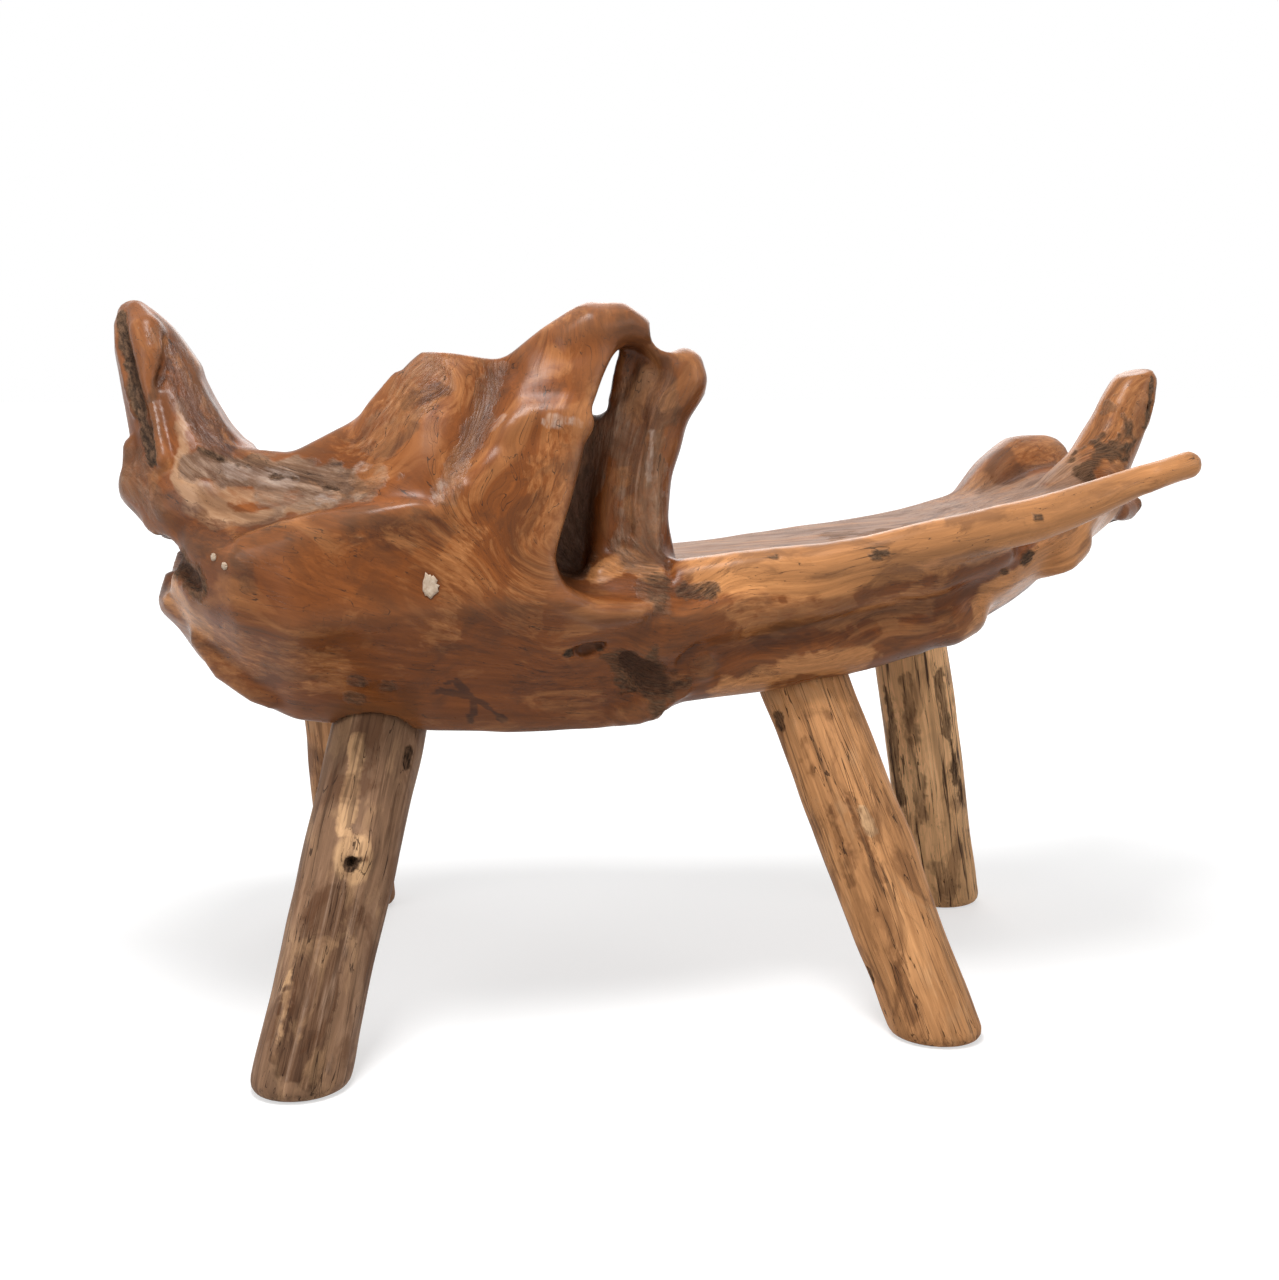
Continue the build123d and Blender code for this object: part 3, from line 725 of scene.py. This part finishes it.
def wood_material(name, settings, coarse):
    """A teak finish with its weathered, pale, sappy and dark places, its painted highlights and the
    painted shade in its crevices.
    """
    material, tree, shader = new_material(name)
    grain = put(tree, "ShaderNodeAttribute", attribute_name="grain").outputs["Vector"]
    ragged = grained(tree, grain, settings["drawn"], 4, 4.0, 0.65, 0.5)

    def painted(key):
        paint = put(tree, "ShaderNodeAttribute", attribute_name=key).outputs["Fac"]
        return ranged(tree, maths(tree, "ADD", paint, ragged), 0.7, 1.28)

    heart = figured(tree, grain, settings["heart"], 0.45)
    pale = figured(tree, grain, settings["pale"], 0.5)["Colour"]
    dull, weathered, dark = painted("dusty"), painted("weathered"), painted("dark")
    highlight_noise = grained(tree, grain, 30, 2.5, 3.0, 0.7)
    highlight_breakup = ranged(tree, highlight_noise, 0.36, 0.66, 0.1, 0.75)
    blotches = grained(tree, grain, 75, 34, 5.0, 0.62, 0.8)
    streaks = grained(tree, grain, 130, 6, 3.0, 0.6, 0.3)
    bark = ranged(tree, grained(tree, grain, 8, 3, 4.0, 0.7), 0.4, 0.7)
    split = put(tree, "ShaderNodeGroup", {"Grain": grain, "Amount": settings["cracks"]},
                node_tree=crazing()).outputs["Cracks"]
    edge_wear_and_crevice_shade = put(tree, "ShaderNodeAttribute", attribute_name="edge_wear_and_crevice_shade").outputs["Fac"]
    colour = heart["Colour"]
    for share, top in (
        (dull, figured(tree, grain, DUSTY, 0.6)["Colour"]),
        (painted("pale"), pale),
        (painted("sapwood"), figured(tree, grain, SAPWOOD, 0.5)["Colour"]),
        (weathered, figured(tree, grain, WORN, 0.9)["Colour"]),
        (painted("stain"), figured(tree, grain, RED_STAIN, 0.45)["Colour"]),
        # Painted highlights, broken up by noise along the grain
        (maths(tree, "MULTIPLY", painted("rubbed"), highlight_breakup), PAINTED_HIGHLIGHT),
        (ranged(tree, blotches, 0.52, 0.62, 0.0, 0.5), BLOTCH),
        (ranged(tree, blotches, 0.46, 0.36, 0.0, 0.3), pale),
        (ranged(tree, streaks, 0.57, 0.64, 0.0, settings["streaks"]), STREAK),
        (dark, mixed(tree, bark, *BARK)),
        (maths(tree, "MULTIPLY", split, 0.8), CRACK),
        (ranged(tree, edge_wear_and_crevice_shade, 0.55, 1.0, 0.0, 0.1), WORN_EDGE),
        # Painted shade: darker in crevices and hollows
        (ranged(tree, edge_wear_and_crevice_shade, 0.5, 0.0, 0.0, 0.6), CREVICE_SHADE),
    ):
        colour = mixed(tree, share, colour, top)

    rub = grained(tree, grain, 40, 18)
    rough = ranged(tree, rub, 0.3, 0.7, settings["rough"], settings["rough"] + 0.14)
    rough = plus(tree, plus(tree, rough, weathered, 0.22), dull, 0.15)
    rough = plus(tree, rough, dark, 0.45, clamp=True)
    relief = maths(tree, "MULTIPLY", heart["Relief"], coarse)
    torn = grained(tree, grain, 60, 4, 3.0, 0.7, 0.4)
    relief = plus(tree, relief, maths(tree, "MULTIPLY", torn, 6.0), weathered)
    crumbs = grained(tree, grain, 7, 4, 4.0, 0.7)
    relief = plus(tree, relief, maths(tree, "MULTIPLY", crumbs, 9.0), dark)
    relief = plus(tree, relief, split, -1.5)
    emboss(tree, shader, relief, 0.5, 0.0006)
    gloss = ranged(tree, dull, 0.0, 1.0, settings["gloss"], settings["gloss"] * 0.3)
    fill(tree, shader, {"Base Color": colour, "Roughness": rough, "Specular IOR Level": gloss})
    return material


# Operators

class BenchSettings(bpy.types.PropertyGroup):
    """Sizes and colours of the bench's finish."""

    body_step: bpy.props.FloatProperty(
        name="Body detail", description="Size of the cells that the root is carved from",
        default=0.0036, min=0.002, unit="LENGTH")
    leg_step: bpy.props.FloatProperty(
        name="Leg detail", description="Size of the cells that the legs are carved from",
        default=0.003, min=0.002, unit="LENGTH")
    heartwood: bpy.props.FloatVectorProperty(
        name="Heartwood", description="Middle colour of the root's polished heartwood",
        default=(0.2, 0.058, 0.013), size=3, subtype="COLOR", min=0, max=1)
    pale_wood: bpy.props.FloatVectorProperty(
        name="Pale wood", description="Middle colour of the arm rail and other pale places",
        default=(0.55, 0.235, 0.083), size=3, subtype="COLOR", min=0, max=1)
    filler: bpy.props.FloatVectorProperty(
        name="Filler", description="Colour of the filler let into the back",
        default=(0.62, 0.5, 0.38), size=3, subtype="COLOR", min=0, max=1)
    lamp_power: bpy.props.FloatProperty(
        name="Main lamp", description="Power of the lamp over the bench", default=34.0,
        unit="POWER")


def shades(colour, spread):
    """Dark, middle and light shades of one wood colour."""
    middle = np.array(colour)
    dark = middle * (1 - 0.55 * spread)
    light = middle * (1 + spread * np.array((0.8, 0.95, 1.1)))
    return tuple(dark), tuple(middle), tuple(light)


class BENCH_OT_carve_root(bpy.types.Operator):
    """Carve the root that holds the seat, back and arm rail"""

    bl_idname = "bench.carve_root"
    bl_label = "Carve Root"

    def execute(self, context):
        settings = context.scene.bench
        block = Block("root_body", settings.body_step * MM)
        block.field = smooth_min(block.softened(2), block.field + CORNER_LOSS, 3)
        for points, radii, blend in SWELLINGS:
            block.add(points, radii, blend)
        for points, radii, blend in HOLLOWS:
            block.cut(points, radii, blend)
        for point, outward, reach in SAWN_FACES:
            block.saw(point, outward, reach)
        wide = block.softened(4)
        points, faces = block.skin()
        cavity = block.value(wide, points)
        normals = normals_of(points, faces)
        grain = grain_map(STRANDS)(points)
        rag = 0.7 * cloud(points, 17, seed=5) + 0.4 * cloud(points, 7, seed=6)
        marks = [(kind, *mark) for kind, group in BRUSHWORK.items() for mark in group]
        paint = paint_over(points, marks, rag)
        paint["dusty"] *= step_up(normals[:, 2], 0.35, 0.75)
        along = drawn(grain, 6.0)
        torn = cloud(along, 7, seed=7) + 0.5 * cloud(along, 4, seed=8)
        lumps = cloud(points, 11, seed=9) + 0.6 * cloud(points, 6, seed=10)
        soft = cloud(points, 60, seed=11) + 0.5 * cloud(points, 28, seed=12)
        move = -1.3 * soft - paint["weathered"] * torn * 1.5 - paint["dark"] * lumps * 2.0
        points = points + normals * move[:, None]
        # Above 0.5 on convex edges, lightened there as wear; below 0.5 in crevices and hollows,
        # darkened there as painted shade
        attributes = {**paint, "grain": grain, "edge_wear_and_crevice_shade": np.clip(0.5 + cavity / 7, 0, 1)}
        heart = shades(settings.heartwood, 0.5)
        pale = shades(settings.pale_wood, 0.5)
        material = wood_material("Teak heartwood", {"heart": heart, "pale": pale, "rough": 0.24,
                                                    "gloss": 0.18, "cracks": 0.3,
                                                    "streaks": 0.0, "drawn": 14}, 0.5)
        piece = build_object("Carved_root", points, faces, material, attributes)
        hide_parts("root_body")
        return {"FINISHED"}


class BENCH_OT_shape_legs(bpy.types.Operator):
    """Shape the four log legs with their knots and holes"""

    bl_idname = "bench.shape_legs"
    bl_label = "Shape Legs"

    def execute(self, context):
        settings = context.scene.bench
        for number, name in enumerate(LEG_NAMES):
            node = f"leg_{name}"
            block = Block(node, settings.leg_step * MM, 6)
            block.field = block.softened(1)
            for points, radii, blend in LEG_KNOTS.get(name, []):
                block.add(points, radii, blend)
            for points, radii, blend in LEG_HOLES.get(name, []):
                block.cut(points, radii, blend)
            points, faces = block.skin()
            normals = normals_of(points, faces)
            low = points[points[:, 2] < LEG_FOOT].mean(0)
            high = points[points[:, 2] > LEG_HEAD].mean(0)
            run = (high - low) / np.linalg.norm(high - low)
            away = points - low
            along = away @ run
            across = np.cross(run, (0, 1, 0))
            across /= np.linalg.norm(across)
            deep = np.cross(run, across)
            grain = np.column_stack([along, away @ across, away @ deep])
            grain += LEG_SPACING * number
            colour, grey, streaky = LEG_TONES[name]
            streaks = cloud(drawn(grain, 16.0), 8, seed=40 + number)
            broad = cloud(points, 90, seed=50 + number)
            silver = grey * step_up(broad + 0.6 * streaks, 0.0, 0.7)
            rag = 0.7 * cloud(drawn(grain, 3.0), 9, seed=60) + 0.4 * cloud(points, 5, seed=61)
            paint = paint_over(points, LEG_MARKS[name], rag)
            paint["weathered"] = np.maximum(paint["weathered"], silver)
            flutes = cloud(drawn(grain, 9.0), 16, seed=20 + number)
            soft = cloud(points, 45, seed=30 + number)
            move = -flutes * 1.2 - soft * 1.6 - paint["dark"] * 0.8
            move *= step_up(points[:, 2], RELIEF_START, RELIEF_FULL)
            points = points + normals * move[:, None]
            material = wood_material(f"Teak leg {name}", {
                "heart": shades(colour, 0.6), "pale": shades((0.56, 0.33, 0.17), 0.4),
                "rough": 0.5, "gloss": 0.12, "cracks": 0.7, "streaks": streaky,
                "drawn": 45}, 0.9)
            attributes = {**paint, "grain": grain, "edge_wear_and_crevice_shade": np.full(len(points), 0.5)}
            piece = build_object(f"Leg_{name}", points, faces, material, attributes)
            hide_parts(node)
        return {"FINISHED"}


class BENCH_OT_lay_fillers(bpy.types.Operator):
    """Lay the light fillers over their hollows in the back"""

    bl_idname = "bench.lay_fillers"
    bl_label = "Lay Fillers"

    def execute(self, context):
        root = bpy.data.objects["Carved_root"]
        surface = BVHTree.FromObject(root, context.evaluated_depsgraph_get())
        material, tree, shader = new_material("Light filler")
        place = put(tree, "ShaderNodeNewGeometry").outputs["Position"]
        grit = grained(tree, place, 1 / 260, 1 / 260, 4.0, 0.7)
        tone = mixed(tree, ranged(tree, grit, 0.35, 0.7), FILLER_PITS,
                     tuple(context.scene.bench.filler))
        rough = ranged(tree, grit, 0.3, 0.7, 0.6, 0.85)
        fill(tree, shader, {"Base Color": tone, "Roughness": rough})
        emboss(tree, shader, grit, 0.5, 0.0008)
        random = np.random.default_rng(3)
        for node in ("filler_patch", "filler_speck_upper", "filler_speck_lower"):
            low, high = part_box(node)
            middle, half = (low + high) / 2, (high - low) / 2
            ragged = 0.85 + 0.09 * random.standard_normal(SPOKES)
            points = []
            for ring in range(RINGS + 1):
                for spoke in range(SPOKES):
                    share = ring / RINGS * (ragged[spoke] if ring > ROUND_RINGS else 1)
                    turn = 2 * np.pi * spoke / SPOKES
                    x = middle.x + half.x * share * cos(turn)
                    z = middle.z + half.z * share * sin(turn)
                    start = Vector((x, low.y - SEARCH_START, z))
                    hit = surface.ray_cast(start, Vector((0, 1, 0)))[0]
                    if hit is None:
                        raise RuntimeError(f"{node} misses the back")
                    lift = RISE * (1 - (ring / RINGS) ** 4) - SINK
                    points.append((x * MM, (hit.y - lift) * MM, z * MM))
            faces = []
            for ring in range(RINGS):
                for spoke in range(SPOKES):
                    after = (spoke + 1) % SPOKES
                    faces.append((ring * SPOKES + spoke, ring * SPOKES + after,
                                  (ring + 1) * SPOKES + after, (ring + 1) * SPOKES + spoke))
            piece = build_object(node.capitalize(), np.array(points),
                                 np.array(faces), material, {})
            thick = piece.modifiers.new("Depth", "SOLIDIFY")
            thick.thickness = THICKNESS
            thick.offset = 0
            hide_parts(node)
        return {"FINISHED"}


class BENCH_OT_finish_pins(bpy.types.Operator):
    """Give the wedges and pegs their split hardwood finish"""

    bl_idname = "bench.finish_pins"
    bl_label = "Finish Wedges and Pegs"

    def execute(self, context):
        material, tree, shader = new_material("Hardwood pin")
        place = put(tree, "ShaderNodeNewGeometry").outputs["Position"]
        grain = put(tree, "ShaderNodeVectorMath", {0: place, 1: (MM, MM, 260)},
                    operation="MULTIPLY").outputs[0]
        wood = figured(tree, grain, PIN_WOOD, 0.5)
        rough = ranged(tree, wood["Relief"], 0.3, 0.9, 0.5, 0.75)
        fill(tree, shader, {"Base Color": wood["Colour"], "Roughness": rough})
        emboss(tree, shader, wood["Relief"], 0.4, 0.0004)
        for name in LEG_NAMES:
            for node in (f"wedge_{name}", f"peg_{name}"):
                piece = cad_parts[node]
                piece.data.materials.clear()
                piece.data.materials.append(material)
        return {"FINISHED"}


def seen_straight(tree):
    """1 on rays from the camera, also by way of gloss or glass."""
    path = put(tree, "ShaderNodeLightPath").outputs
    seen = maths(tree, "MAXIMUM", path["Is Camera Ray"], path["Is Glossy Ray"])
    return maths(tree, "MAXIMUM", seen, path["Is Transmission Ray"])


class BENCH_OT_set_stage(bpy.types.Operator):
    """Set the floor, the lamps and the camera"""

    bl_idname = "bench.set_stage"
    bl_label = "Set Stage"

    def execute(self, context):
        scene = context.scene
        bpy.ops.mesh.primitive_plane_add(size=FLOOR_SIZE)
        floor = context.object
        floor.name = "Floor"
        material, tree, shader = new_material("Pale floor")
        place = put(tree, "ShaderNodeNewGeometry").outputs["Position"]
        far = put(tree, "ShaderNodeVectorMath", {0: place}, operation="LENGTH").outputs["Value"]
        glow = ranged(tree, far, 0.6, 2.4, 0.56, 1.0)
        fill(tree, shader, {"Base Color": (*FLOOR_GREY, 1), "Roughness": 0.9,
                            "Specular IOR Level": 0.1, "Emission Color": (1, 1, 1, 1),
                            "Emission Strength": maths(tree, "MULTIPLY", seen_straight(tree),
                                                       glow)})
        floor.data.materials.append(material)

        world = bpy.data.worlds.new("Studio")
        scene.world = world
        world.use_nodes = True
        tree = world.node_tree
        tree.nodes.clear()
        strength = ranged(tree, seen_straight(tree), 0.0, 1.0, WORLD_LIGHT, 1.0)
        light = put(tree, "ShaderNodeBackground", {"Color": (1, 1, 1, 1), "Strength": strength})
        put(tree, "ShaderNodeOutputWorld", {"Surface": light.outputs[0]})

        for name, (place, aim, size, share) in LAMPS.items():
            data = bpy.data.lights.new(name, "AREA")
            data.size = size
            data.energy = scene.bench.lamp_power * share
            lamp = add_object(name, data)
            lamp.location = place
            lamp.rotation_euler = (Vector(aim) - Vector(place)).to_track_quat("-Z", "Y").to_euler()

        data = bpy.data.cameras.new("Camera")
        data.lens = CAMERA_LENS
        data.sensor_width = CAMERA_SENSOR
        camera = add_object("Camera", data)
        turn, drop = radians(CAMERA_TURN), radians(CAMERA_DROP)
        camera.location = CAMERA_PLACE
        aim = Vector((-sin(turn) * cos(drop), cos(turn) * cos(drop), -sin(drop)))
        camera.rotation_euler = aim.to_track_quat("-Z", "Y").to_euler()
        scene.camera = camera
        scene.view_settings.view_transform = "Standard"
        return {"FINISHED"}


class BENCH_PT_panel(bpy.types.Panel):
    """Lists the bench's settings and its making steps"""

    bl_idname = "BENCH_PT_panel"
    bl_label = "Teak Root Bench"
    bl_space_type = "VIEW_3D"
    bl_region_type = "UI"
    bl_category = "Bench"

    def draw(self, context):
        column = self.layout.column()
        for key in BenchSettings.__annotations__:
            column.prop(context.scene.bench, key)
        for step in STEPS:
            column.operator(step.bl_idname)


STEPS = (BENCH_OT_carve_root, BENCH_OT_shape_legs, BENCH_OT_lay_fillers, BENCH_OT_finish_pins,
         BENCH_OT_set_stage)


def register():
    """Makes the settings, steps and panel known."""
    for kind in (BenchSettings, *STEPS, BENCH_PT_panel):
        bpy.utils.register_class(kind)
    bpy.types.Scene.bench = bpy.props.PointerProperty(type=BenchSettings)


def unregister():
    """Takes them away again."""
    del bpy.types.Scene.bench
    for kind in reversed((BenchSettings, *STEPS, BENCH_PT_panel)):
        bpy.utils.unregister_class(kind)


def main():
    """Makes the whole bench."""
    register()
    bpy.ops.bench.carve_root()
    bpy.ops.bench.shape_legs()
    bpy.ops.bench.lay_fillers()
    bpy.ops.bench.finish_pins()
    bpy.ops.bench.set_stage()


if __name__ == "__main__":
    main()
